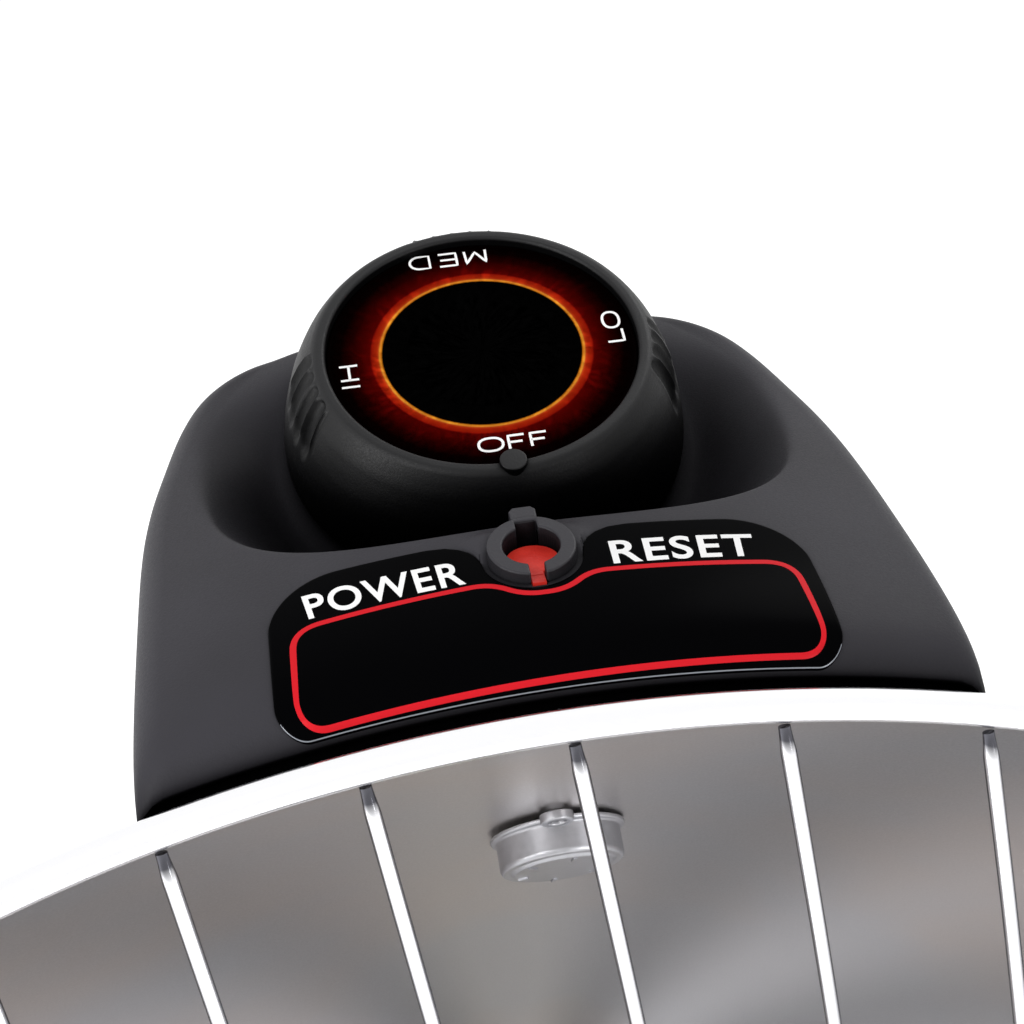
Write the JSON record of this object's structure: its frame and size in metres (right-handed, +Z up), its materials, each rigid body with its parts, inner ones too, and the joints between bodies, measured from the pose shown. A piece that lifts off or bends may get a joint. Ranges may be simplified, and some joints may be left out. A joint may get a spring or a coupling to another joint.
{
  "type": "parabolic heater",
  "caption": "Parabolic dish heater with a wire guard, a polished rim, a control pod with a turning knob on top, and a tilting head on a round weighted base.",
  "frame": {"origin": "centre of the base at floor level, under the feet", "axes": "+Z up, -Y the way the dish faces, +X to the right seen from the front"},
  "size_m": [0.4064, 0.3, 0.5189],
  "materials": {
    "satin_reflector": "satin rolled",
    "polished_steel": "polished",
    "black_steel": "satin black paint",
    "charcoal_plastic": "fine grain",
    "black_plastic": "fine grain",
    "gloss_label": "gloss printed",
    "dial_label": "gloss printed",
    "red_lens": "translucent red, gloss",
    "zinc_steel": "zinc plated",
    "brass_parts": "satin",
    "white_ceramic": "matt fired",
    "heating_alloy": "oxidised",
    "black_rubber": "matt",
    "cast_ballast": "rough",
    "phenolic": "matt",
    "neon_glass": "clear"
  },
  "bodies": {
    "stand": {"yoke": "black_steel", "pivot_bolt": "zinc_steel", "pivot_nut": "zinc_steel", "friction_washer_left": "black_rubber", "friction_washer_right": "black_rubber", "base_cover": "black_plastic", "base_plate": "zinc_steel", "ballast": "cast_ballast", "foot_front_left": "black_rubber", "foot_front_right": "black_rubber", "foot_rear_left": "black_rubber", "foot_rear_right": "black_rubber", "tip_frame": "zinc_steel", "tip_pin": "zinc_steel", "tip_microswitch": "black_plastic"},
    "head": {"reflector": "satin_reflector", "rim_ring": "polished_steel", "wire_guard": "polished_steel", "rear_shell": "black_steel", "control_housing": "charcoal_plastic", "label_plate": "gloss_label", "control_thermostat": "phenolic", "reset_spring": "zinc_steel", "reset_switch": "black_plastic", "pilot_lamp": "neon_glass", "limit_thermostat": "zinc_steel", "inner_plate": "zinc_steel", "buzzer": "black_plastic", "terminal_block": "white_ceramic", "element_core": "white_ceramic", "element_coil": "heating_alloy", "element_socket": "white_ceramic", "element_rod": "zinc_steel", "element_front_nut": "zinc_steel", "element_rear_nut": "zinc_steel", "element_post": "zinc_steel", "spine_cover": "black_plastic", "cord_bushing": "black_rubber", "pivot_block": "black_plastic", "carry_handle": "black_plastic", "cover_screw_1": "zinc_steel", "cover_screw_2": "zinc_steel", "cover_screw_3": "zinc_steel", "cover_screw_4": "zinc_steel"},
    "knob": {"knob_shell": "black_plastic", "knob_dial": "dial_label", "knob_shaft": "zinc_steel"},
    "reset": {"reset_button": "red_lens"},
    "pendulum": {"tip_pendulum": "brass_parts"}
  },
  "joints": [
    {"name": "head_tilt", "type": "hinge", "parent": "stand", "child": "head", "pos_m": [0, 0.035, 0.155], "axis": [-1, 0, 0], "range_deg": [-10, 25]},
    {"name": "knob_turn", "type": "hinge", "parent": "head", "child": "knob", "pos_m": [0, 0.0139, 0.4906], "axis": [0, 0.373, -0.9278], "range_deg": [0, 270]},
    {"name": "reset_press", "type": "slide", "parent": "head", "child": "reset", "axis": [0, 0, -1], "range_m": [0, 0.0015], "stiffness_N_per_m": 500, "springref_m": -0.001, "deforming": ["reset_spring"]},
    {"name": "tip_swing", "type": "hinge", "parent": "stand", "child": "pendulum", "pos_m": [0, 0, 0.033], "axis": [1, 0, 0], "range_deg": [-20, 20]}
  ]
}
